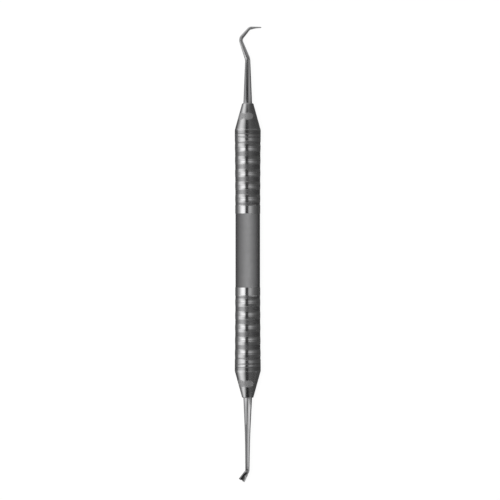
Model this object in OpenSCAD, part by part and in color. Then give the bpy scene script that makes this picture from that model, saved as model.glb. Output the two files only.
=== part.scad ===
// Double-ended hand scaler: a hollow turned handle with a cone pressed into each end,
// a pointed hook in the upper cone and a short notched foot in the lower one.
// It lies on its handle: +Y runs along the handle towards the hook, +Z is up, and both
// working ends bend in the level plane through the handle's axis. Millimetres.

/* [Handle barrel] */
// Length of the whole handle, from the mouth of one cone to the mouth of the other
handle_len = 107.5; // [100:0.5:125]
// Diameter over the collars, the widest part of the handle
collar_d = 9.5; // [9.2:0.05:11]
// Diameter that the barrel's long curve narrows to at its middle
waist_d = 9.1; // [8.6:0.05:9.5]
// Diameter of the bore through the hollow barrel
barrel_bore_d = 7; // [5:0.1:7.6]

/* [Label band] */
// Length of the plain band in the middle of the barrel
band_len = 27; // [16:0.5:30]
// Diameter of the band
band_d = 8.95; // [8.4:0.05:9.05]
// Length of the plain stretch between the band and the first valley
plain_len = 2.8; // [1:0.1:4]

/* [Grip rings] */
// Number of broad rings on each side of the band
ring_count = 5; // [1:1:5]
// Distance from one broad ring to the next
ring_pitch = 4.63; // [3.6:0.01:4.8]
// Length of a broad ring's land
land_len = 2.4; // [1.4:0.1:3.2]
// Length of the narrow valley before the first broad ring
run_in_len = 1.45; // [0.8:0.05:2]
// Depth of a valley
valley_depth = 0.08; // [0.05:0.01:0.3]
// Length of a valley's sloping side
flank_len = 0.8; // [0.3:0.05:0.9]
// Width of the fine line turned round the middle of each land
line_w = 0.5; // [0.2:0.05:0.8]
// Depth of that fine line
line_depth = 0.03; // [0.02:0.01:0.12]
// Distance between the two narrow rings at each end of the barrel
end_ring_pitch = 1.27; // [0.9:0.01:1.5]
// Length of a narrow ring's land
end_ring_len = 0.75; // [0.5:0.05:0.8]

/* [End cones] */
// Length of a cone, from its shoulder to its mouth
cone_len = 9.75; // [7:0.05:12]
// Diameter of a cone's mouth
mouth_d = 4.1; // [3.9:0.05:5.5]
// Rounding of the mouth's outer edge
mouth_edge_r = 0.3; // [0.1:0.05:0.35]
// Length of the plain collar behind the shoulder
collar_len = 1.45; // [1.2:0.05:3]
// Rounding of the upper cone's shoulder
upper_shoulder_r = 8; // [1:0.5:8.5]
// Rounding of the lower cone's shoulder
lower_shoulder_r = 1; // [0.5:0.5:8.5]
// Length of the spigot that is pressed into the barrel
spigot_len = 8; // [4:0.5:14]

/* [Shanks] */
// Diameter of the rod that both working ends are made from, and of the bores that hold it
rod_d = 3.175; // [2.6:0.025:3.4]
// Length of rod pressed into each cone
tang_len = 16; // [8:0.5:18]
// Chamfer on the leading edge of each tang and spigot
lead_chamfer = 0.3; // [0.1:0.05:0.5]

/* [Upper hook] */
// Length of the straight shank outside the cone
hook_shank_len = 16.1; // [10:0.1:24]
// Diameter at the end of the straight shank
hook_shank_d = 1.88; // [1.6:0.05:2.4]
// Length of the leg that leans out
lean_len = 7.9; // [5:0.1:12]
// Angle of that leg from the handle's axis
lean_angle = 20.4; // [10:0.1:30]
// Diameter at the elbow that ends the leaning leg
elbow_d = 1.4; // [1.2:0.05:1.7]
// Length of the leg that comes back across the axis
return_len = 5.3; // [4:0.1:8]
// Angle of that leg from the handle's axis
return_angle = 40.8; // [25:0.1:50]
// Diameter at the heel of the blade
heel_d = 1.08; // [0.9:0.02:1.3]
// Length of the pointed blade
blade_len = 4.4; // [3:0.05:6]
// Angle of the blade from the handle's axis
blade_angle = 87.5; // [70:0.5:100]
// Diameter of the blade just before its point, which is as long as that
point_d = 0.5; // [0.12:0.02:0.6]
// Bend radius where the shank starts to lean
lean_bend_r = 6; // [2:0.5:9]
// Bend radius of the elbow
elbow_bend_r = 2; // [1:0.1:3]
// Bend radius of the heel
heel_bend_r = 1.6; // [0.8:0.1:2.4]

/* [Lower foot] */
// Length of the steep part of the shank's taper
foot_taper_len = 14.5; // [8:0.5:20]
// Diameter at the end of the steep part
foot_taper_d = 1.82; // [1.7:0.02:2.4]
// Length of the whole straight shank outside the cone
foot_shank_len = 26.8; // [22:0.1:32]
// Diameter at the end of the straight shank
foot_shank_d = 1.52; // [1.4:0.02:1.7]
// Length of the foot from the corner of its bend
foot_len = 4.1; // [3:0.05:6]
// Angle of the foot from the handle's axis
foot_angle = 31.6; // [15:0.1:45]
// Bend radius of the foot
foot_bend_r = 1.2; // [0.8:0.1:2]
// Width of the foot at its end
foot_w = 2.45; // [1.6:0.05:2.6]
// Thickness of the foot at its end
foot_t = 1.3; // [0.9:0.05:1.8]
// Width of the notch across the foot's end
notch_w = 1; // [0.4:0.05:1.4]
// Depth of that notch
notch_depth = 0.22; // [0.1:0.02:0.6]

/* [Hidden] */
$fn = 96;

// Steps in the barrel's long curve, in a rounded edge and in a bend
curve_steps = 10;
edge_steps = 6;
bend_steps = 8;
// Points round a bent stretch, a multiple of 6 so that the blade keeps its three edges
section_points = 24;
// Rings along the blade and along the foot
blade_rings = 8;
foot_rings = 8;
// Power of the foot's section at its end: 2 is an ellipse, and more is squarer
foot_square = 9;
// How far a bent stretch starts inside the straight shank, and how much thinner it is there
splice_len = 0.3;
splice_gap = 0.03;

mouth_at = handle_len / 2;
shoulder_at = mouth_at - cone_len;
barrel_end = shoulder_at - collar_len;
first_ring = band_len / 2 + plain_len + run_in_len + land_len / 2;
cone_slope = atan((collar_d - mouth_d) / 2 / cone_len);

// Legs of each working end as [length, angle from the axis], counted from its cone's mouth
hook_legs = [[hook_shank_len, 0], [lean_len, -lean_angle],
             [return_len, return_angle], [blade_len, blade_angle]];
foot_legs = [[foot_shank_len, 0], [foot_len, -foot_angle]];
hook_start = hook_shank_len - lean_bend_r * tan(lean_angle / 2);
foot_start = foot_shank_len - foot_bend_r * tan(foot_angle / 2);

// The handle is placed so that the origin is under the middle of the overall length
hook_reach = corner(hook_legs, 3).z + heel_d / 2;
foot_reach = corner(foot_legs, 2).z + foot_w / 2 * sin(foot_angle);
handle_mid_y = (foot_reach - hook_reach) / 2;

// Radius of the barrel's waisted curve at a distance from its middle
function barrel_r(at) = waist_d / 2 + (collar_d - waist_d) / 2 * pow(at / barrel_end, 2);

// Unit steps along an angle from the axis, and square to it
function ahead(angle) = [sin(angle), 0, cos(angle)];
function aside(angle) = [cos(angle), 0, -sin(angle)];

// Where leg number i of a working end starts
function corner(legs, i) =
  i == 0 ? [0, 0, 0] : corner(legs, i - 1) + legs[i - 1][0] * ahead(legs[i - 1][1]);

// Stations [place, angle] round the bend where leg i starts
function bend(legs, i, r) =
  let (before = legs[i - 1][1], turn = legs[i][1] - before)
  let (start = corner(legs, i) - r * tan(abs(turn) / 2) * ahead(before))
  [for (k = [0 : bend_steps])
    let (angle = before + turn * k / bend_steps)
    [start + sign(turn) * r * (aside(before) - aside(angle)), angle]];

// Sections as points [aside, up]: a circle, a circle that turns into a triangle, and a squared ellipse
function round_section(d) =
  [for (k = [1 : section_points])
    let (a = 360 * k / section_points)
    d / 2 * [cos(a), sin(a)]];
function blade_section(d, share) =
  [for (k = [1 : section_points])
    let (a = 360 * k / section_points, edge = cos(60) / cos((a + 60) % 120 - 60))
    d / 2 * (1 - share + share * edge) * [cos(a), sin(a)]];
function square_section(w, t, power) =
  [for (k = [1 : section_points])
    let (a = 360 * (k - 0.5) / section_points)
    [w / 2 * sign(cos(a)) * pow(abs(cos(a)), 2 / power),
     t / 2 * sign(sin(a)) * pow(abs(sin(a)), 2 / power)]];

// One ring of points in space, from a station and a section
function ring_at(station, section) =
  [for (p = section) station[0] + p.x * aside(station[1]) + [0, p.y, 0]];

// Closed skin through a list of rings, with a fan of triangles from its start and end points
module skin(start, rings, end) {
  n = section_points;
  last = (len(rings) - 1) * n;
  points = concat([for (ring = rings) each ring], [start, end]);
  sides = [for (i = [0 : n : last - n], k = [0 : n - 1])
    let (next = (k + 1) % n)
    each [[i + k, i + n + k, i + n + next], [i + k, i + n + next, i + next]]];
  start_fan = [for (k = [0 : n - 1]) [last + n, k, (k + 1) % n]];
  end_fan = [for (k = [0 : n - 1]) [last + n + 1, last + (k + 1) % n, last + k]];
  polyhedron(points = points, faces = concat(start_fan, sides, end_fan));
}

// Lays the handle's axis along +Y at the height at which its collars touch the ground
module lay() translate([0, handle_mid_y, collar_d / 2]) rotate([-90, 0, 0]) children();

// Turns a piece that is drawn for the upper end round to the lower end
module lower_side() rotate([180, 0, 0]) children();

// Ring-shaped cut into the barrel between two places along it
module valley(from, to, depth, flank) {
  low = barrel_r(from);
  high = barrel_r(to);
  rotate_extrude()
    polygon([[low - depth, from + flank], [high - depth, to - flank],
             [high + depth, to + flank], [low + depth, from - flank]]);
}

// Cuts that leave the rings on one half of the barrel
module ring_cuts() {
  last_ring = first_ring + (ring_count - 1) * ring_pitch;
  end_gap = end_ring_pitch - end_ring_len;
  run_out_end = barrel_end - 2 * end_ring_pitch + end_gap / 2;
  small_flank = end_gap / 3;
  valley(first_ring - land_len / 2 - run_in_len, first_ring - land_len / 2, valley_depth, run_in_len / 3);
  for (k = [1 : 1 : ring_count - 1])
    let (middle = first_ring + (k - 0.5) * ring_pitch, half = (ring_pitch - land_len) / 2)
      valley(middle - half, middle + half, valley_depth, min(flank_len, half * 0.9));
  run_out_start = last_ring + land_len / 2;
  valley(run_out_start, run_out_end, valley_depth, (run_out_end - run_out_start) / 3);
  for (k = [0 : 1]) {
    middle = barrel_end - k * end_ring_pitch;
    valley(middle - end_gap / 2, middle + end_gap / 2, line_depth, small_flank);
  }
  for (k = [0 : 1 : ring_count - 1]) {
    middle = first_ring + k * ring_pitch;
    valley(middle - line_w / 2, middle + line_w / 2, line_depth, line_w / 3);
  }
}

// Hollow barrel: half of its outline is waisted from the band to the collar
module handle_barrel() {
  band_end = band_len / 2;
  half = [for (k = [0 : curve_steps])
    let (at = band_end + (barrel_end - band_end) * k / curve_steps) [barrel_r(at), at]];
  other_half = [for (k = [curve_steps : -1 : 0]) [half[k].x, -half[k].y]];
  color("gray") lay() difference() {
    rotate_extrude()
      polygon(concat([[barrel_bore_d / 2, -barrel_end]], other_half,
                     [[band_d / 2, -band_end], [band_d / 2, band_end]], half,
                     [[barrel_bore_d / 2, barrel_end]]));
    ring_cuts();
    lower_side() ring_cuts();
  }
}

// End cone with its collar and spigot, drawn for the upper end
module end_cone(shoulder_r) {
  tangent = shoulder_r * tan(cone_slope / 2);
  shoulder = [for (k = [0 : edge_steps])
    let (a = cone_slope * k / edge_steps)
    [collar_d / 2 - shoulder_r * (1 - cos(a)), shoulder_at - tangent + shoulder_r * sin(a)]];
  mouth_r = mouth_d / 2 - mouth_edge_r * tan(45 - cone_slope / 2);
  mouth_edge = [for (k = [0 : edge_steps])
    let (a = cone_slope + (90 - cone_slope) * k / edge_steps)
    [mouth_r + mouth_edge_r * (cos(a)), mouth_at - mouth_edge_r * (1 - sin(a))]];
  spigot_r = barrel_bore_d / 2;
  spigot_end = barrel_end - spigot_len;
  difference() {
    rotate_extrude()
      polygon(concat([[0, spigot_end], [spigot_r - lead_chamfer, spigot_end],
                      [spigot_r, spigot_end + lead_chamfer], [spigot_r, barrel_end],
                      [collar_d / 2, barrel_end]],
                     shoulder, mouth_edge, [[0, mouth_at]]));
    translate([0, 0, mouth_at - cone_len - collar_len - spigot_len - 1])
      cylinder(d = rod_d, h = cone_len + collar_len + spigot_len + 2);
  }
}

module upper_cone() color("silver") lay() end_cone(upper_shoulder_r);

module lower_cone() color("silver") lay() lower_side() end_cone(lower_shoulder_r);

// Rod end that is pressed into a cone, up to the cone's mouth
module tang() {
  translate([0, 0, -tang_len]) cylinder(d1 = rod_d - 2 * lead_chamfer, d2 = rod_d, h = lead_chamfer);
  translate([0, 0, lead_chamfer - tang_len]) cylinder(d = rod_d, h = tang_len - lead_chamfer);
}

// Hook: the shank leans out, comes back across the axis and ends in a three-edged point
module upper_working_end() {
  heel = bend(hook_legs, 3, heel_bend_r);
  heel_end = heel[bend_steps][0];
  blade_run = blade_len - point_d - heel_bend_r * tan((blade_angle - return_angle) / 2);
  stretch = concat(
    [ring_at([[0, 0, hook_start - splice_len], 0], round_section(hook_shank_d - splice_gap))],
    [for (s = bend(hook_legs, 1, lean_bend_r)) ring_at(s, round_section(hook_shank_d - splice_gap))],
    [for (s = bend(hook_legs, 2, elbow_bend_r)) ring_at(s, round_section(elbow_d))],
    [for (s = heel) ring_at(s, round_section(heel_d))],
    [for (k = [1 : blade_rings])
      let (share = k / blade_rings, place = heel_end + share * blade_run * ahead(blade_angle))
      ring_at([place, blade_angle],
              blade_section(heel_d + (point_d - heel_d) * share, min(1, 2 * share)))]);
  color("lightgray") lay() translate([0, 0, mouth_at]) {
    tang();
    cylinder(d1 = rod_d, d2 = hook_shank_d, h = hook_start);
    skin([0, 0, hook_start - splice_len], stretch, corner(hook_legs, 4));
  }
}

// Foot: a straight shank with a short bent foot that widens to a notched end
module lower_working_end() {
  turn = bend(foot_legs, 1, foot_bend_r);
  turn_end = turn[bend_steps][0];
  turn_d = foot_shank_d - splice_gap;
  shank_section = square_section(turn_d, turn_d, 2);
  foot_run = foot_len - foot_bend_r * tan(foot_angle / 2);
  stretch = concat(
    [ring_at([[0, 0, foot_start - splice_len], 0], shank_section)],
    [for (s = turn) ring_at(s, shank_section)],
    [for (k = [1 : foot_rings])
      let (share = k / foot_rings, place = turn_end + share * foot_run * ahead(-foot_angle))
      let (squared = min(1, 2 * share))
      ring_at([place, -foot_angle],
              square_section(turn_d + (foot_w - turn_d) * share,
                             turn_d + (foot_t - turn_d) * squared,
                             2 + (foot_square - 2) * squared))]);
  color("lightgray") lay() lower_side() translate([0, 0, mouth_at]) {
    tang();
    cylinder(d1 = rod_d, d2 = foot_taper_d, h = foot_taper_len);
    translate([0, 0, foot_taper_len])
      cylinder(d1 = foot_taper_d, d2 = foot_shank_d, h = foot_start - foot_taper_len);
    difference() {
      skin([0, 0, foot_start - splice_len], stretch, corner(foot_legs, 2));
      translate(corner(foot_legs, 2)) rotate([90, -foot_angle, 0])
        linear_extrude(2 * foot_t, center = true)
          polygon([[0, -notch_depth], [notch_w, notch_depth], [-notch_w, notch_depth]]);
    }
  }
}

handle_barrel();
upper_cone();
lower_cone();
upper_working_end();
lower_working_end();
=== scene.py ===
import math

import bmesh
import bpy
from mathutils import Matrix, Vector


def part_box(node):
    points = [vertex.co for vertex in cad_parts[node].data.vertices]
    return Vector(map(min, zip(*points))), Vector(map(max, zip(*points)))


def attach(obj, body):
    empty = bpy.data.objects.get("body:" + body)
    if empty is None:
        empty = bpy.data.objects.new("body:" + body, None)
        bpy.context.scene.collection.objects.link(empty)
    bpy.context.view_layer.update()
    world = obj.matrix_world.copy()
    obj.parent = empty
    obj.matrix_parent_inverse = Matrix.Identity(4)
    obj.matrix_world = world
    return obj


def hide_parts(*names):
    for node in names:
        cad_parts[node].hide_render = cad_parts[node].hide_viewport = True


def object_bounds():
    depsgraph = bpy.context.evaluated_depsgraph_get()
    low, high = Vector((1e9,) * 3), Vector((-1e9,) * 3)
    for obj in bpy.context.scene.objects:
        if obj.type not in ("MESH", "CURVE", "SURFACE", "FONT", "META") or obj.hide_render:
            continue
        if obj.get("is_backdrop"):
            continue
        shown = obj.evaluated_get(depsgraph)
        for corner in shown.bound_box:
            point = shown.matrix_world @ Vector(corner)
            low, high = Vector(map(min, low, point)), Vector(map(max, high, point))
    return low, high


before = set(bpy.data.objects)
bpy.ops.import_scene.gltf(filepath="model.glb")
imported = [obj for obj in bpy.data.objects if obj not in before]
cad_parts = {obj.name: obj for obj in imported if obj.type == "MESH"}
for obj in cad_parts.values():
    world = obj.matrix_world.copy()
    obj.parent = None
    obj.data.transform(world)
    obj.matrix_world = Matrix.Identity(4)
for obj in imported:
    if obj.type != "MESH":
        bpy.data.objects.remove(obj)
cad_low, cad_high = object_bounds()

# Handle barrel: a hollow steel tube, turned to a long waisted curve with crowned rings for the
# fingers. The rings are polished after turning, the valleys are coloured darker and left rougher,
# and the band in the middle is blasted to a dark satin. Each end is closed by a pressed-in cone.
mm = 0.001
barrel_low, barrel_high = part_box("handle_barrel")
axis_z = (barrel_low.z + barrel_high.z) / 2
mid_y = (barrel_low.y + barrel_high.y) / 2
collar_r = -cad_low.x
# A land is the polished top of a ring. From the band outwards come a plain stretch, a run-in valley,
# the broad rings with a fine line round each, and two narrow rings that each end in a fine cut.
barrel_sizes = {
    "Half length": (barrel_high.y - barrel_low.y) / 2,
    "Collar radius": collar_r,
    "Waist radius": 4.55 * mm,
    "Bore radius": 3.5 * mm,
    "Band half length": 13.5 * mm,
    "Band radius": 4.475 * mm,
    "Plain length": 2.8 * mm,
    "Ring count": 5,
    "Ring pitch": 4.63 * mm,
    "Land length": 2.4 * mm,
    "Land crown": 0.045 * mm,
    "Run-in length": 1.45 * mm,
    "Valley depth": 0.08 * mm,
    "Flank length": 0.42 * mm,
    "Line width": 0.5 * mm,
    "Line depth": 0.008 * mm,
    "End ring pitch": 1.27 * mm,
    "End cut width": 0.52 * mm,
    "End cut depth": 0.03 * mm,
}
rows_along_rings = 300
rows_of_flat = 2
points_round = 120
weld = 0.001 * mm
crisp_edge = math.radians(35)


class Wire:
    """A socket of a node tree. Arithmetic on it adds Math nodes to the tree."""

    def __init__(self, tree, socket=None):
        self.tree = tree
        self.socket = socket

    def node(self, kind, settings=None, sockets=None, out=0):
        """Adds a node: its settings first, then its sockets' values or links. A list is many links."""
        made = self.tree.nodes.new(kind)
        for name, value in (settings or {}).items():
            if name == "stops":
                self.set_stops(made.color_ramp.elements, value)
            else:
                setattr(made, name, value)
        for key, value in (sockets or {}).items():
            for item in value if isinstance(value, list) else [value]:
                if isinstance(item, Wire):
                    self.tree.links.new(item.socket, made.inputs[key])
                else:
                    made.inputs[key].default_value = item
        return Wire(self.tree, made.outputs[out] if len(made.outputs) else None)

    def set_stops(self, elements, stops):
        """Gives a ramp its stops (position, grey), in rising order."""
        while len(elements) < len(stops):
            elements.new(1.0)
        for element, (position, grey) in zip(elements, stops):
            element.position = position
            element.color = (grey, grey, grey, 1)

    def port(self, name):
        """Another output of the same node."""
        return Wire(self.tree, self.socket.node.outputs[name])

    def math(self, operation, *values):
        return self.node("ShaderNodeMath", {"operation": operation}, dict(enumerate(values)))

    def ease(self, low, high):
        """0 below low and 1 above high, with a smooth step between them."""
        sockets = {"Value": self, "From Min": low, "From Max": high}
        return self.node("ShaderNodeMapRange", {"interpolation_type": "SMOOTHSTEP"}, sockets)

    def mix(self, low, high):
        """Colour that goes from low to high as this value goes from 0 to 1."""
        return self.node("ShaderNodeMix", {"data_type": "RGBA"}, {0: self, 6: low, 7: high}, out=2)

    def __add__(self, other):
        return self.math("ADD", self, other)

    def __radd__(self, other):
        return self.math("ADD", other, self)

    def __sub__(self, other):
        return self.math("SUBTRACT", self, other)

    def __rsub__(self, other):
        return self.math("SUBTRACT", other, self)

    def __mul__(self, other):
        return self.math("MULTIPLY", self, other)

    def __rmul__(self, other):
        return self.math("MULTIPLY", other, self)

    def __truediv__(self, other):
        return self.math("DIVIDE", self, other)

    def __rtruediv__(self, other):
        return self.math("DIVIDE", other, self)

    def __abs__(self):
        return self.math("ABSOLUTE", self)


def from_ring(at, size):
    """How far a place along the handle is from the middle of the nearest broad ring."""
    land = size["Land length"]
    first = size["Band half length"] + size["Plain length"] + size["Run-in length"] + land / 2
    number = (at - first) / size["Ring pitch"]
    rounded = number.math("ROUND", number)
    counted = number.math("MAXIMUM", rounded, 0.0)
    nearest = number.math("MINIMUM", counted, size["Ring count"] - 1)
    return abs(at - first - nearest * size["Ring pitch"])


def run_out(size):
    """Where the valley after the last broad ring ends."""
    return size["Half length"] - 2 * size["End ring pitch"] - size["End cut width"] / 2


def into_valley(at, size):
    """How far a place is from the nearest land: the plain stretch, a broad ring or the end rings."""
    plain = at - (size["Band half length"] + size["Plain length"])
    broad = from_ring(at, size) - size["Land length"] / 2
    ends = run_out(size) - at
    return at.math("MINIMUM", at.math("MINIMUM", plain, broad), ends)


def from_end_cut(at, size):
    """How far a place is from the nearer of the two fine cuts at the barrel's end."""
    inner = abs(at - (size["Half length"] - size["End ring pitch"]))
    return at.math("MINIMUM", inner, abs(at - size["Half length"]))


def barrel_radius(at, size):
    """Radius of the ringed part of the barrel at a distance from its middle."""
    spread = at / size["Half length"]
    waist = size["Waist radius"] + (size["Collar radius"] - size["Waist radius"]) * spread * spread
    off_ring = from_ring(at, size)
    arch = off_ring / (size["Land length"] / 2)
    on_ring = at.math("LESS_THAN", off_ring, size["Ring pitch"] / 2)
    crown = size["Land crown"] * at.math("MINIMUM", arch * arch, 1.0) * on_ring
    sunk = into_valley(at, size).ease(0.0, size["Flank length"])
    line = 1 - off_ring.ease(0.0, size["Line width"] / 2)
    cut = 1 - from_end_cut(at, size).ease(0.0, size["End cut width"] / 2)
    depth = crown * (1 - sunk) + size["Valley depth"] * sunk
    return waist - depth - size["Line depth"] * line - size["End cut depth"] * cut


barrel_tree = bpy.data.node_groups.new("turned_barrel", "GeometryNodeTree")
barrel_sockets = barrel_tree.interface
barrel_inputs = {}
for name, value in barrel_sizes.items():
    kind = "NodeSocketInt" if isinstance(value, int) else "NodeSocketFloat"
    barrel_inputs[name] = barrel_sockets.new_socket(name, in_out="INPUT", socket_type=kind)
steel_input = barrel_sockets.new_socket("Steel", in_out="INPUT", socket_type="NodeSocketMaterial")
barrel_sockets.new_socket("Barrel", in_out="OUTPUT", socket_type="NodeSocketGeometry")
bench = Wire(barrel_tree)
asked = bench.node("NodeGroupInput")
size = {name: asked.port(name) for name in barrel_sizes}
position = bench.node("GeometryNodeInputPosition")
on_grid = bench.node("ShaderNodeSeparateXYZ", sockets={"Vector": position})
along = on_grid.port("X") + 0.5
turn = on_grid.port("Y") * (2 * math.pi)


def wrapped(rows, at, radius):
    """A grid wrapped round the handle's axis, where at and radius depend on along."""
    counts = {"Size X": 1.0, "Size Y": 1.0, "Vertices X": rows, "Vertices Y": points_round + 1}
    grid = bench.node("GeometryNodeMeshGrid", sockets=counts)
    x = turn.math("SINE", turn) * radius
    z = turn.math("COSINE", turn) * radius + axis_z
    point = bench.node("ShaderNodeCombineXYZ", sockets={"X": x, "Y": at + mid_y, "Z": z})
    return bench.node("GeometryNodeSetPosition", sockets={"Geometry": grid, "Position": point})


ring_at = size["Band half length"] + along * (size["Half length"] - size["Band half length"])
ring_radius = barrel_radius(ring_at, size)
start_radius = barrel_radius(size["Band half length"], size)
end_radius = barrel_radius(size["Half length"], size)
both_ways = along * 2 - 1
skins = [
    wrapped(rows_of_flat, both_ways * size["Band half length"], size["Band radius"]),
    wrapped(rows_of_flat, both_ways * size["Half length"], size["Bore radius"]),
]
for side in (1, -1):
    step = size["Band radius"] + along * (start_radius - size["Band radius"])
    face = size["Bore radius"] + along * (end_radius - size["Bore radius"])
    skins.append(wrapped(rows_along_rings, ring_at * side, ring_radius))
    skins.append(wrapped(rows_of_flat, size["Band half length"] * side, step))
    skins.append(wrapped(rows_of_flat, size["Half length"] * side, face))
joined = bench.node("GeometryNodeJoinGeometry", sockets={"Geometry": skins})
closed = bench.node("GeometryNodeMergeByDistance", sockets={"Geometry": joined, "Distance": weld})
smooth = bench.node("GeometryNodeSetShadeSmooth", sockets={"Geometry": closed})
real = bench.node("GeometryNodeRealizeInstances", sockets={"Geometry": smooth})
dressing = {"Geometry": real, "Material": asked.port("Steel")}
dressed = bench.node("GeometryNodeSetMaterial", sockets=dressing)
bench.node("NodeGroupOutput", sockets={"Barrel": dressed})


def blank_material(name):
    """A new material with an empty tree, and the wire to build it on."""
    material = bpy.data.materials.new(name)
    material.use_nodes = True
    material.node_tree.nodes.clear()
    return material, Wire(material.node_tree)


def read_place(wire):
    """Object coordinates as one vector, and split, with ports X, Y and Z."""
    coordinate = wire.node("ShaderNodeTexCoord", out="Object")
    return coordinate, wire.node("ShaderNodeSeparateXYZ", sockets={"Vector": coordinate})


def grain(wire, coordinate, lengths, detail=2.0):
    """Noise from 0 to 1 whose spots have the given lengths along x, y and z."""
    scale = tuple(1 / length for length in lengths)
    stretched = wire.node("ShaderNodeMapping", sockets={"Vector": coordinate, "Scale": scale})
    sockets = {"Vector": stretched, "Scale": 1.0, "Detail": detail}
    return wire.node("ShaderNodeTexNoise", sockets=sockets)


def finish_steel(wire, colour, metallic, roughness, height, relief):
    """Ends a steel's tree: its shader, with the relief of a height from 0 to 1."""
    bump = {"Strength": relief_strength, "Distance": relief, "Height": height}
    normal = wire.node("ShaderNodeBump", sockets=bump)
    sockets = {"Base Color": colour, "Metallic": metallic, "Roughness": roughness, "Normal": normal}
    sockets["Specular IOR Level"] = satin_specular
    shader = wire.node("ShaderNodeBsdfPrincipled", sockets=sockets)
    wire.node("ShaderNodeOutputMaterial", sockets={"Surface": shader})


polished_grey = (0.57, 0.57, 0.575, 1)
# Darker colour for the valleys, the end cuts and the cones' collars
darker_grey = (0.29, 0.29, 0.294, 1)
# Colour of the fine lines: a painted dark reflection
line_dark_reflection_grey = (0.46, 0.46, 0.465, 1)
satin_grey = (0.175, 0.175, 0.177, 1)
rubbed_grey = (0.235, 0.235, 0.238, 1)
satin_specular = 0.2
relief_strength = 0.5
turned_relief = 0.004 * mm
band_edge = 0.05 * mm
# Distances over which the valleys turn darker and rougher, and over which the fine lines' painted
# dark reflection and the darker, rougher end cuts fade
valley_fade = (0.1 * mm, 0.5 * mm)
line_fade = (0.12 * mm, 0.32 * mm)
cut_fade = (0.1 * mm, 0.26 * mm)
handle_steel, wire = blank_material("handle_steel")
coordinate, spot = read_place(wire)
at = abs(spot.port("Y") - mid_y)
band_half = barrel_sizes["Band half length"]
band = 1 - at.ease(band_half - band_edge, band_half)
# The valleys and the end cuts are coloured darker and made rougher
valley_mask = into_valley(at, barrel_sizes).ease(*valley_fade) * (1 - band)
line = 1 - from_ring(at, barrel_sizes).ease(*line_fade)
cut = 1 - from_end_cut(at, barrel_sizes).ease(*cut_fade)
tool_marks = grain(wire, coordinate, (6 * mm, 0.12 * mm, 6 * mm), 3.0)
smears = grain(wire, coordinate, (5 * mm, 2.5 * mm, 5 * mm))
blast = grain(wire, coordinate, (0.16 * mm, 0.16 * mm, 0.16 * mm))
dull = wire.math("MAXIMUM", valley_mask, cut)
darkening = 0.12 * tool_marks + 0.1 * smears + 0.78 * dull
# The fine line round each land is a real shallow groove, coloured darker as a painted dark reflection
turned = line.mix(darkening.mix(polished_grey, darker_grey), line_dark_reflection_grey)
satin = (0.7 * smears + 0.3 * blast).mix(satin_grey, rubbed_grey)
colour = band.mix(turned, satin)
roughness = 0.07 + 0.2 * dull + 0.43 * band + 0.08 * smears + 0.06 * tool_marks
height = tool_marks * (1 - band) + blast * band
finish_steel(wire, colour, 1 - 0.8 * band, roughness, height, turned_relief)


def tidy_faces(mesh):
    """Merges doubles, points the faces outwards, and shades them smooth up to a crisp edge."""
    work = bmesh.new()
    work.from_mesh(mesh)
    bmesh.ops.remove_doubles(work, verts=work.verts, dist=weld)
    bmesh.ops.recalc_face_normals(work, faces=work.faces)
    work.to_mesh(mesh)
    work.free()
    mesh.shade_smooth()
    mesh.set_sharp_from_angle(angle=crisp_edge)


def plain_mesh(piece):
    """Makes what a piece's modifiers give its own closed mesh, and removes them."""
    graph = bpy.context.evaluated_depsgraph_get()
    made = bpy.data.meshes.new_from_object(piece.evaluated_get(graph))
    piece.modifiers.clear()
    piece.data = made
    tidy_faces(made)


def new_piece(name, mesh):
    """A piece in the scene, at the origin."""
    piece = bpy.data.objects.new(name, mesh)
    bpy.context.scene.collection.objects.link(piece)
    return piece


barrel = new_piece("turned_barrel", bpy.data.meshes.new("turned_barrel"))
turning = barrel.modifiers.new("turning", "NODES")
turning.node_group = barrel_tree
for name, value in barrel_sizes.items():
    turning[barrel_inputs[name].identifier] = value
turning[steel_input.identifier] = handle_steel
plain_mesh(barrel)
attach(barrel, "root")
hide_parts("handle_barrel")

# End cones: turned from steel bar with a plain collar, and pressed into the barrel by a hidden
# spigot. Each is polished, with a painted highlight along its shoulder and its collar coloured a
# little darker, and has two blank ovals etched matt side by side.
cone_len = 9.75 * mm
mouth_r = 2.05 * mm
mouth_edge_r = 0.3 * mm
seam_edge = 0.06 * mm
spigot_len = 8 * mm
lead = 0.3 * mm
rod_r = 3.175 / 2 * mm
points_of_turn = 128
edge_steps = 8
barrel_end = barrel_sizes["Half length"]
mouth_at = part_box("upper_cone")[1].y - mid_y
shoulder_at = mouth_at - cone_len
slope = math.atan((collar_r - mouth_r) / cone_len)
# Shares of the way from shoulder to mouth where rings of points keep the cone's side straight
side_shares = (0.01, 0.99)
# Rounding of each cone's shoulder, and which way along the handle the cone points
cones = {"upper_cone": (1 * mm, 1), "lower_cone": (0.3 * mm, -1)}
# Middle of each oval as its place along the handle and its angle round it, and its half sizes
upper_mark_at = 48.9 * mm
lower_mark_at = 48.45 * mm
mark_angles = (math.radians(2), math.radians(-47))
mark_half_len = 1.3 * mm
mark_half_w = 1.9 * mm


def arc(middle, radius, start, end, steps):
    """Points (radius, place) on an arc, with angles from the outward direction towards the mouth."""
    turns = [start + (end - start) * k / steps for k in range(steps + 1)]
    return [(middle[0] + radius * math.cos(a), middle[1] + radius * math.sin(a)) for a in turns]


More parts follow.
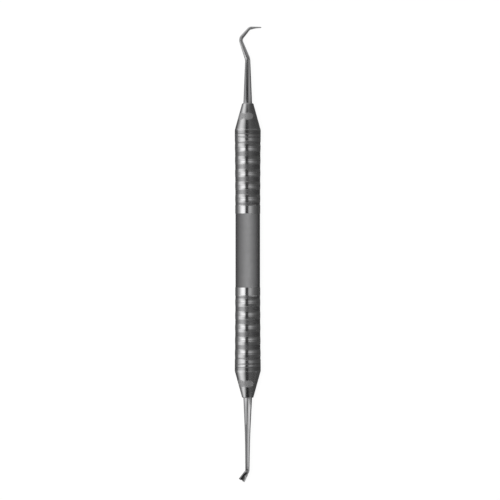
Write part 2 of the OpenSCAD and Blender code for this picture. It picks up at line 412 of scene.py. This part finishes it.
def cone_outline(shoulder_r):
    """Closed outline (radius, place) of a cone, its collar, spigot and bore."""
    shoulder_middle = (collar_r - shoulder_r, shoulder_at - shoulder_r * math.tan(slope / 2))
    shoulder = arc(shoulder_middle, shoulder_r, 0, slope, edge_steps)
    inset = mouth_edge_r * math.tan((math.pi / 2 - slope) / 2)
    mouth_middle = (mouth_r - inset, mouth_at - mouth_edge_r)
    mouth = arc(mouth_middle, mouth_edge_r, slope, math.pi / 2, edge_steps)
    side = [tuple(a + (b - a) * share for a, b in zip(shoulder[-1], mouth[0])) for share in side_shares]
    spigot_r = barrel_sizes["Bore radius"]
    foot = barrel_end - spigot_len
    back = [(rod_r, foot), (spigot_r - lead, foot), (spigot_r, foot + lead), (spigot_r, barrel_end)]
    collar = [(collar_r - seam_edge, barrel_end), (collar_r, barrel_end + seam_edge)]
    return back + collar + shoulder + side + mouth + [(rod_r, mouth_at)]


def turned_mesh(name, outline, way):
    """Closed mesh of an outline (radius, place) turned round the handle's axis."""
    work = bmesh.new()
    rings = []
    for k in range(points_of_turn):
        a = 2 * math.pi * k / points_of_turn
        spots = [(r * math.sin(a), mid_y + way * s, axis_z + r * math.cos(a)) for r, s in outline]
        rings.append([work.verts.new(spot) for spot in spots])
    for k, ring in enumerate(rings):
        after = rings[(k + 1) % points_of_turn]
        for i in range(len(outline)):
            j = (i + 1) % len(outline)
            work.faces.new((ring[i], ring[j], after[j], after[i]))
    mesh = bpy.data.meshes.new(name)
    work.to_mesh(mesh)
    work.free()
    tidy_faces(mesh)
    return mesh


def round_handle(wire, spot):
    """Angle of a spot round the handle's axis, from straight up to the right."""
    return wire.math("ARCTAN2", spot.port("X"), spot.port("Z") - axis_z)


def from_axis(wire, spot):
    """Distance of a spot from the handle's axis."""
    right = spot.port("X")
    above = spot.port("Z") - axis_z
    return wire.math("SQRT", right * right + above * above)


cone_grey = (0.55, 0.55, 0.555, 1)
mark_grey = (0.57, 0.57, 0.574, 1)
# Colour of a painted highlight along each cone's shoulder
painted_highlight_grey = (0.62, 0.62, 0.625, 1)
collar_fade = 0.5 * mm
highlight_fade = (0.1 * mm, 0.6 * mm)
# An oval's edge as shares of its half size, and how much of that its blotches fray
mark_edge = (0.95, 1.4)
mark_fray = 0.4
cone_steel, wire = blank_material("cone_steel")
coordinate, spot = read_place(wire)
at = abs(spot.port("Y") - mid_y)
tool_marks = grain(wire, coordinate, (6 * mm, 0.15 * mm, 6 * mm), 3.0)
smears = grain(wire, coordinate, (4 * mm, 3 * mm, 4 * mm))
etch = grain(wire, coordinate, (0.14 * mm, 0.14 * mm, 0.14 * mm))
blotch = grain(wire, coordinate, (0.8 * mm, 0.8 * mm, 0.8 * mm))
upper = wire.math("GREATER_THAN", spot.port("Y"), mid_y)
mark_at = lower_mark_at + (upper_mark_at - lower_mark_at) * upper
lengthwise = (at - mark_at) / mark_half_len
marks = []
for mark_angle in mark_angles:
    sideways = (round_handle(wire, spot) - mark_angle) * from_axis(wire, spot) / mark_half_w
    out = wire.math("SQRT", lengthwise * lengthwise + sideways * sideways)
    marks.append(1 - (out + mark_fray * blotch).ease(*mark_edge))
etched = wire.math("MAXIMUM", *marks)
on_collar = 1 - at.ease(shoulder_at - collar_fade, shoulder_at)
# A painted highlight along the shoulder
shoulder_highlight = 1 - abs(at - shoulder_at).ease(*highlight_fade)
# Tool marks and smears vary the tone at random, and the collar is coloured a little darker
darkening = 0.2 * tool_marks + 0.15 * smears + 0.36 * on_collar
turned = shoulder_highlight.mix(darkening.mix(cone_grey, darker_grey), painted_highlight_grey)
colour = etched.mix(turned, mark_grey)
roughness = 0.09 + 0.42 * etched + 0.08 * smears + 0.05 * tool_marks
height = tool_marks * (1 - etched) + etch * etched
finish_steel(wire, colour, 1 - 0.2 * etched, roughness, height, turned_relief)
for node, (shoulder_r, way) in cones.items():
    cone = new_piece("polished_" + node, turned_mesh(node, cone_outline(shoulder_r), way))
    cone.data.materials.append(cone_steel)
    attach(cone, "root")
    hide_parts(node)

# Upper working end: a 1/8 in steel rod pressed into its cone, ground to a slim taper, bent three
# times in one plane and ground to a three-edged point that faces back across the handle. The
# shank is polished, and the hook beyond its first bend is honed a little duller.
tang_len = 16 * mm
# Each leg's length and its angle to the handle in degrees, then the bends' radii between the legs,
# and the rod's radius at the end of each leg but the last, which is the blade
hook_legs = [(16.1 * mm, 0), (7.9 * mm, -20.4), (5.3 * mm, 40.8), (4.02 * mm, 87.5)]
hook_bends = [4.5 * mm, 2 * mm, 1.6 * mm]
hook_radii = [0.98 * mm, 0.7 * mm, 0.54 * mm]
edged_share = 0.5
point_r = 0.3 * mm
point_len = 0.36 * mm
sharp_r = 0.02 * mm
root_step = 0.1 * mm
bend_steps = 14
leg_steps = 10
points_of_rod = 60


def ahead(angle):
    """Direction along a rod that leans by an angle from the handle."""
    return Vector((math.sin(angle), 0, math.cos(angle)))


def aside(angle):
    """Direction across such a rod, in the plane of its bends."""
    return Vector((math.cos(angle), 0, -math.sin(angle)))


def rod_path(legs, bends):
    """Stations (place, angle) along a bent rod from its cone's mouth, a list for each leg and bend."""
    corner = Vector((0, 0, 0))
    start = corner
    stretches = []
    for i, (length, degrees) in enumerate(legs):
        angle = math.radians(degrees)
        end = corner + length * ahead(angle)
        turn = math.radians(legs[i + 1][1]) - angle if i < len(bends) else 0
        bend_r = bends[i] if i < len(bends) else 0
        stop = end - bend_r * math.tan(abs(turn) / 2) * ahead(angle)
        stretches.append([(start.lerp(stop, k / leg_steps), angle) for k in range(leg_steps + 1)])
        if bend_r:
            turns = [angle + turn * k / bend_steps for k in range(bend_steps + 1)]
            side = math.copysign(bend_r, turn)
            stretches.append([(stop + side * (aside(angle) - aside(a)), a) for a in turns])
            start = stretches[-1][-1][0]
        corner = end
    return stretches


def round_section(radius):
    turns = [2 * math.pi * (k + 0.5) / points_of_rod for k in range(points_of_rod)]
    return [(radius * math.cos(a), radius * math.sin(a)) for a in turns]


def three_edged_section(radius, share):
    """A circle that turns into a triangle as share goes from 0 to 1."""
    section = []
    third = 2 * math.pi / 3
    for x, y in round_section(radius):
        a = math.atan2(y, x)
        edge = math.cos(third / 2) / math.cos((a + third / 2) % third - third / 2)
        section.append((x * (1 - share + share * edge), y * (1 - share + share * edge)))
    return section


def laid(spot, way):
    """Place of a rod's spot, given from its cone's mouth, one way or the other along the handle."""
    return (spot.x, mid_y + way * (mouth_at + spot.z), axis_z + spot.y)


def rod_mesh(name, rings, way):
    """Closed mesh through rings (place, angle, section) of a rod."""
    work = bmesh.new()
    loops = []
    for place, angle, section in rings:
        spots = [place + x * aside(angle) + Vector((0, y, 0)) for x, y in section]
        loops.append([work.verts.new(laid(spot, way)) for spot in spots])
    for loop, after in zip(loops, loops[1:]):
        for k in range(len(loop)):
            n = (k + 1) % len(loop)
            work.faces.new((loop[k], loop[n], after[n], after[k]))
    work.faces.new(loops[0])
    work.faces.new(loops[-1])
    mesh = bpy.data.meshes.new(name)
    work.to_mesh(mesh)
    work.free()
    tidy_faces(mesh)
    return mesh


def tang_rings(root_r):
    """Rings of the hidden rod end up to its cone's mouth, and of the taper's start just outside."""
    places = [(-tang_len, rod_r - lead), (lead - tang_len, rod_r), (0, rod_r), (root_step, root_r)]
    return [(Vector((0, 0, z)), 0, round_section(r)) for z, r in places]


def tapered(stretch, start_r, end_r, section):
    """Rings along a stretch whose radius goes evenly from one size to the other."""
    last = len(stretch) - 1
    return [(place, angle, section(start_r + (end_r - start_r) * k / last, k / last))
            for k, (place, angle) in enumerate(stretch)]


def plain_section(radius, share):
    return round_section(radius)


def blade_section(radius, share):
    return three_edged_section(radius, min(1, share / edged_share))


hook_stretches = rod_path(hook_legs, hook_bends)
hook_taper = (rod_r - hook_radii[0]) / hook_stretches[0][-1][0].length
hook_rings = tang_rings(rod_r - hook_taper * root_step)
reached_r = rod_r
# The stretches are each leg and the bend after it in turn
for i, stretch in enumerate(hook_stretches):
    leg = i // 2
    if leg == len(hook_radii):
        hook_rings += tapered(stretch, reached_r, point_r, blade_section)[1:]
    else:
        hook_rings += tapered(stretch, reached_r, hook_radii[leg], plain_section)[1:]
        reached_r = hook_radii[leg]
blade_end, blade_angle = hook_stretches[-1][-1]
point_end = blade_end + point_len * ahead(blade_angle)
hook_rings.append((point_end, blade_angle, blade_section(sharp_r, 1)))

tip_grey = (0.57, 0.57, 0.575, 1)
worn_grey = (0.42, 0.42, 0.425, 1)
ground_relief = 0.0015 * mm
honed_fade = 3 * mm
tip_steel, wire = blank_material("tip_steel")
coordinate, spot = read_place(wire)
hook_at = mid_y + mouth_at + hook_legs[0][0]
honed = spot.port("Y").ease(hook_at - honed_fade, hook_at + honed_fade)
grinding = grain(wire, coordinate, (0.25 * mm, 5 * mm, 0.25 * mm), 3.0)
smears = grain(wire, coordinate, (1.5 * mm, 4 * mm, 1.5 * mm))
colour = (0.5 * grinding + 0.2 * smears).mix(tip_grey, worn_grey)
roughness = 0.07 + 0.08 * grinding + 0.06 * smears + 0.18 * honed
finish_steel(wire, colour, 1.0, roughness, grinding, ground_relief)
hook = new_piece("ground_hook", rod_mesh("ground_hook", hook_rings, 1))
hook.data.materials.append(tip_steel)
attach(hook, "root")
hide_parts("upper_working_end")

# Lower working end: the same rod ground to a long taper that leans slightly, with a short bent
# foot. The foot is ground flat on its faces and bevelled on its heel side, widens to its end and
# has a V notch filed across it.
foot_shank_len = 26.8 * mm
foot_legs = [(foot_shank_len, -0.3), (4.05 * mm, -31.6)]
foot_bends = [1.2 * mm]
# The shank tapers steeply, and eases into a slighter taper over this length to each side
steep_len = 14.5 * mm
steep_r = 0.91 * mm
ease_len = 5.5 * mm
foot_shank_r = 0.755 * mm
foot_half_w = 1.145 * mm
foot_half_t = 0.645 * mm
# Shares of the foot's half width that its heel gains, and from which its bevel starts
heel_widening = 0.13
bevel_from = 0.25
bevel_depth = 0.5 * mm
# How fast the foot turns from round to flat along its length, and how square it gets
flattening = 2.2
foot_square = 11
notch_w = 1 * mm
notch_depth = 0.22 * mm
shank_steps = 40


def squared_section(half_w, half_t, power):
    """A squared ellipse: power 2 is an ellipse, and more is squarer."""
    section = []
    for x, y in round_section(1):
        wide = math.copysign(abs(x) ** (2 / power), x)
        thick = math.copysign(abs(y) ** (2 / power), y)
        section.append((half_w * wide, half_t * thick))
    return section


def foot_section(radius, share):
    """A section that turns from round to flat, its heel side wider and bevelled from both faces."""
    squared = min(1, flattening * share)
    half_t = foot_shank_r + (foot_half_t - foot_shank_r) * squared
    section = []
    for x, y in squared_section(radius, half_t, 2 + (foot_square - 2) * squared):
        bevel = max(0, x / radius - bevel_from) / (1 - bevel_from)
        limit = half_t - bevel_depth * squared * bevel
        section.append((x + heel_widening * squared * max(0, x), max(-limit, min(limit, y))))
    return section


def shank_radius(at):
    """Radius along the straight shank: a steep taper that eases into a slight one."""
    steep = (rod_r - steep_r) / steep_len
    slight = (steep_r - foot_shank_r) / (foot_shank_len - steep_len)
    past = at - (steep_len - ease_len)
    eased = max(0, min(past, 2 * ease_len))
    beyond = max(0, past - 2 * ease_len)
    return rod_r - steep * at + (steep - slight) * (eased * eased / (4 * ease_len) + beyond)


shank, foot_turn, foot_run = rod_path(foot_legs, foot_bends)
shank_end, shank_angle = shank[-1]
stations = [shank_end * k / shank_steps for k in range(1, shank_steps + 1)]
foot_rings = tang_rings(shank_radius(root_step))
foot_rings += [(place, shank_angle, round_section(shank_radius(place.length))) for place in stations]
foot_rings += tapered(foot_turn, foot_shank_r, foot_shank_r, plain_section)[1:]
foot_rings += tapered(foot_run, foot_shank_r, foot_half_w, foot_section)[1:]
foot = new_piece("ground_foot", rod_mesh("ground_foot", foot_rings, -1))
foot.data.materials.append(tip_steel)

foot_end, foot_angle = foot_run[-1]
work = bmesh.new()
wedge = [(0, -notch_depth), (notch_w, notch_depth), (-notch_w, notch_depth)]
faces = []
for rise in (-2 * foot_half_t, 2 * foot_half_t):
    middle = foot_end + Vector((0, rise, 0))
    spots = [middle + w * aside(foot_angle) + d * ahead(foot_angle) for w, d in wedge]
    faces.append([work.verts.new(laid(spot, -1)) for spot in spots])
for face in faces:
    work.faces.new(face)
for k in range(len(wedge)):
    n = (k + 1) % len(wedge)
    work.faces.new((faces[0][k], faces[0][n], faces[1][n], faces[1][k]))
bmesh.ops.recalc_face_normals(work, faces=work.faces)
file_mesh = bpy.data.meshes.new("notch_file")
work.to_mesh(file_mesh)
work.free()
notch_file = new_piece("notch_file", file_mesh)
filing = foot.modifiers.new("filing", "BOOLEAN")
filing.object = notch_file
filing.operation = "DIFFERENCE"
filing.solver = "EXACT"
plain_mesh(foot)
bpy.data.objects.remove(notch_file)
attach(foot, "root")
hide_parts("lower_working_end")

# Table: white paper under the instrument, which keeps its soft shadow. It is bright enough to come
# out white where it is seen, straight or mirrored, and dim where it only throws light back.
floor_half = 30.0
floor_gap = 0.05 * mm
white = (1, 1, 1, 1)
seen_paper = (3.6, 3.6, 3.6, 1)
dim_paper = (0.25, 0.25, 0.25, 1)
shadow_share = 0.08


def flat_square(name, half, height):
    """A level square centred on the origin."""
    corners = [(x * half, y * half, height) for x, y in ((-1, -1), (1, -1), (1, 1), (-1, 1))]
    mesh = bpy.data.meshes.new(name)
    mesh.from_pydata(corners, [], [(0, 1, 2, 3)])
    return new_piece(name, mesh)


def seen_directly(wire):
    """1 for what the camera sees, straight or by way of metal or glass."""
    path = wire.node("ShaderNodeLightPath")
    direct = path.port("Is Camera Ray") + path.port("Is Glossy Ray") + path.port("Is Transmission Ray")
    return wire.math("MINIMUM", direct, 1.0)


floor_white, wire = blank_material("floor_white")
seen = seen_directly(wire)
paper = wire.node("ShaderNodeBsdfDiffuse", sockets={"Color": seen.mix(dim_paper, seen_paper)})
bright = wire.node("ShaderNodeEmission", sockets={"Color": white, "Strength": 1.0})
lit = wire.node("ShaderNodeMixShader", sockets={0: seen * (1 - shadow_share), 1: paper, 2: bright})
wire.node("ShaderNodeOutputMaterial", sockets={"Surface": lit})
floor = flat_square("floor", floor_half, -floor_gap)
floor.data.materials.append(floor_white)
floor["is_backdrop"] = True

# Tent: cloth and curved screens round the instrument, which reflections alone see. Together they hold
# what bright steel mirrors in a studio: a broad soft light on the left, darkness above and a weaker
# light on the right. Screens stand where a cone, a shank, the hook or the foot mirrors something else.
tent_r = 2.0
tent_facets = 96
screen_facets = 48
table_cloth_half = 1.5
near_cloth = (0.1, 0.1, 0.1, 1)
left_cloth = (0.45, 0.45, 0.45, 1)
far_cloth = (0.75, 0.75, 0.75, 1)
hook_cloth = (0.75, 0.75, 0.75, 1)
pole_grey = (0.45, 0.45, 0.45, 1)
# Places across the table between which its cloth pales, beside the handle and beyond its ends
pale_beside = (-4 * mm, -60 * mm)
pale_beyond = (2 * mm, -38 * mm)
# Places along the handle between which the cloth beyond its ends and the hook's own cloth begin, and
# distances to each side over which the hook's cloth ends
ends_begin = (46 * mm, 58 * mm)
hook_begins = (66 * mm, 78 * mm)
hook_half_w = (20 * mm, 30 * mm)
# Brightness by degrees round the handle's axis, from straight up to the right
level_glow = [(-110, 0.25), (-80, 0.65), (-60, 1.6), (-50, 1.85), (-35, 1.9), (-26, 1.5), (-20, 0.3),
              (-12, 0.06), (-2, 0.06), (12, 0.7), (26, 0.7), (45, 0.37), (65, 0.2), (100, 0.12)]
dim_side = [(-11, 0.045), (-2, 0.045), (15, 0.16), (25, 0.17), (45, 0.12), (100, 0.085)]
tilted_glow = [(-125, 0.3), (-95, 0.85), (-60, 1.28), (-40, 1.05), (-30, 0.68), (-20, 0.12)] + dim_side
cone_glow = [(-125, 0.4), (-95, 1.1), (-70, 1.36), (-50, 1.16), (-30, 0.5), (-20, 0.09)] + dim_side
flank_glow = [(-125, 0.3), (-95, 0.9), (-60, 1.4), (-40, 1.2), (-20, 0.55), (0, 0.4), (15, 0.17),
              (100, 0.08)]
upper_glow = [(-65, 0.5), (-40, 0.08), (-20, 0.02), (2, 0.02), (20, 0.35), (50, 0.55)]
upper_rim_glow = [(-95, 0.36), (-50, 0.07), (-30, 0.06), (30, 0.28), (90, 0.55)]
lower_glow = [(-120, 0.5), (-60, 0.82), (-35, 0.7), (-13, 0.05), (2, 0.05), (12, 1.0), (80, 1.3)]
lower_rim_glow = [(-120, 0.4), (-60, 0.26), (-45, 0.26), (-10, 0.75), (35, 0.7), (90, 1.05)]
hook_glow = [(0, 0.6), (25, 0.4)]
foot_glow = [(-90, 0.3), (-35, 0.02), (14, 0.02), (50, 0.2), (70, 0.8)]
foot_rim_glow = [(-90, 0.3), (-35, 0.02), (8, 0.02), (30, 0.8)]
card_glow = [(-90, 0.28), (0, 0.28)]
card_rim_glow = [(-90, 0.05), (0, 0.05)]
# Degrees from straight across towards the handle's ends, over which the tent changes to its next glow
tent_changes = [(2.6, 4.2, tilted_glow), (10.5, 13, flank_glow), (21, 25, cone_glow)]
pole_change = (44, 58)
# Each screen's way along the handle, its radius, its span along the handle and where its glow
# changes there, all in millimetres, its span round the handle in degrees, and its two glows
half_round = (-90, 90)
left_round = (-90, -25)
screens = {
    "upper_screen": (1, 130, (66, 99), (81.5, 91.5), half_round, upper_glow, upper_rim_glow),
    "lower_screen": (-1, 130, (64, 98), (80, 90), half_round, lower_glow, lower_rim_glow),
    "upper_baffle": (1, 60, (44, 63), (50, 57), half_round, tilted_glow, flank_glow),
    "lower_baffle": (-1, 60, (44, 63), (50, 57), half_round, tilted_glow, flank_glow),
    "hook_screen": (1, 60, (96, 130), (106, 120), half_round, hook_glow, hook_glow),
    "foot_screen": (-1, 60, (88.5, 135), (102.5, 121), half_round, foot_glow, foot_rim_glow),
    "foot_card": (-1, 20, (65, 97), (74.5, 87.5), left_round, card_glow, card_rim_glow),
}


def glow_round(wire, spot, glow):
    """Brightness at a spot from a list by degrees round the handle."""
    turn_share = round_handle(wire, spot) / (2 * math.pi) + 0.5
    stops = [(degrees / 360 + 0.5, grey) for degrees, grey in glow]
    return wire.node("ShaderNodeValToRGB", {"stops": stops}, {"Fac": turn_share})


def paling(spot, start, end):
    """How far a spot is on the way left between two places: 0 at the first and 1 at the other."""
    return (start - spot.port("X")) / (start - end)


def hang(cloth, material, wire, colour):
    """Finishes a cloth's material, and leaves the cloth to reflections alone."""
    shine = wire.node("ShaderNodeEmission", sockets={"Color": colour, "Strength": 1.0})
    wire.node("ShaderNodeOutputMaterial", sockets={"Surface": shine})
    material.cycles.emission_sampling = "NONE"
    cloth.data.materials.append(material)
    cloth.visible_camera = False
    cloth.visible_diffuse = False
    cloth.visible_transmission = False
    cloth.visible_shadow = False
    cloth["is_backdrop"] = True


table_cloth, wire = blank_material("table_cloth")
spot = read_place(wire)[1]
beside = paling(spot, *pale_beside).mix(near_cloth, left_cloth)
beyond = paling(spot, *pale_beyond).mix(near_cloth, far_cloth)
by_hook = spot.port("Y").ease(*hook_begins) * (1 - abs(spot.port("X")).ease(*hook_half_w))
colour = by_hook.mix(abs(spot.port("Y")).ease(*ends_begin).mix(beside, beyond), hook_cloth)
hang(flat_square("table_cloth", table_cloth_half, 0), table_cloth, wire, colour)

work = bmesh.new()
bmesh.ops.create_uvsphere(work, u_segments=tent_facets, v_segments=tent_facets // 2, radius=tent_r)
tent_mesh = bpy.data.meshes.new("tent")
work.to_mesh(tent_mesh)
work.free()
tent_cloth, wire = blank_material("tent_cloth")
spot = read_place(wire)[1]
lean = wire.math("DEGREES", abs(wire.math("ARCSINE", spot.port("Y") / tent_r)))
colour = glow_round(wire, spot, level_glow)
for low, high, glow in tent_changes:
    colour = lean.ease(low, high).mix(colour, glow_round(wire, spot, glow))
colour = lean.ease(*pole_change).mix(colour, pole_grey)
hang(new_piece("tent", tent_mesh), tent_cloth, wire, colour)

for name, (way, radius, span, change, around, inner_glow, outer_glow) in screens.items():
    start, end = (math.radians(degrees) for degrees in around)
    rims = []
    for k in range(screen_facets + 1):
        a = start + (end - start) * k / screen_facets
        right = radius * mm * math.sin(a)
        above = axis_z + radius * mm * math.cos(a)
        rims += [(right, way * place * mm, above) for place in span]
    quads = [(2 * k, 2 * k + 1, 2 * k + 3, 2 * k + 2) for k in range(screen_facets)]
    mesh = bpy.data.meshes.new(name)
    mesh.from_pydata(rims, [], quads)
    screen_cloth, wire = blank_material(name)
    spot = read_place(wire)[1]
    outward = abs(spot.port("Y")).ease(change[0] * mm, change[1] * mm)
    colour = outward.mix(glow_round(wire, spot, inner_glow), glow_round(wire, spot, outer_glow))
    hang(new_piece(name, mesh), screen_cloth, wire, colour)

# Light: a wide soft box above, a little to the left, which lights the floor, and a strip close above
# the satin band, both in a dim room whose walls show white. Reflections see the tent in place of them.
room_grey = (0.05, 0.05, 0.05, 1)
# Each lamp's place to the right of the handle and above its axis, its width and length, its radiance
lamps = {
    "soft_box": (-150 * mm, 900 * mm, 650 * mm, 700 * mm, 2.2),
    "strip": (0, 10 * mm, 2 * mm, 50 * mm, 5.4),
}
world = bpy.data.worlds.new("pale_room")
bpy.context.scene.world = world
world.use_nodes = True
world.node_tree.nodes.clear()
wire = Wire(world.node_tree)
room = seen_directly(wire).mix(room_grey, white)
backdrop = wire.node("ShaderNodeBackground", sockets={"Color": room, "Strength": 1.0})
wire.node("ShaderNodeOutputWorld", sockets={"Surface": backdrop})
for name, (right, above, width, length, radiance) in lamps.items():
    light = bpy.data.lights.new(name, "AREA")
    light.shape = "RECTANGLE"
    light.size = width
    light.size_y = length
    light.energy = math.pi * width * length * radiance
    lamp = bpy.data.objects.new(name, light)
    lamp.location = (right, mid_y, axis_z + above)
    lamp.visible_camera = False
    lamp.visible_glossy = False
    bpy.context.scene.collection.objects.link(lamp)

# Camera: straight above the handle, looking down, with the picture's frame of 500 by 500 pixels
# centred a little to the right of the handle's axis. The collar's width gives the scale.
picture_w = 500
handle_px = Vector((247.75, 250.5))
collar_px = 26.0
collar_w = 9.5 * mm
camera_height = 0.7
metres_per_px = collar_w / collar_px
camera_data = bpy.data.cameras.new("camera")
camera_data.sensor_width = 36
camera_data.lens = camera_data.sensor_width * camera_height / (picture_w * metres_per_px)
camera = bpy.data.objects.new("camera", camera_data)
off_centre = (Vector((picture_w / 2, picture_w / 2)) - handle_px) * metres_per_px
camera.location = (off_centre.x, mid_y - off_centre.y, axis_z + camera_height)
bpy.context.scene.collection.objects.link(camera)
bpy.context.scene.camera = camera
bpy.context.scene.view_settings.view_transform = "Standard"

low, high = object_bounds()
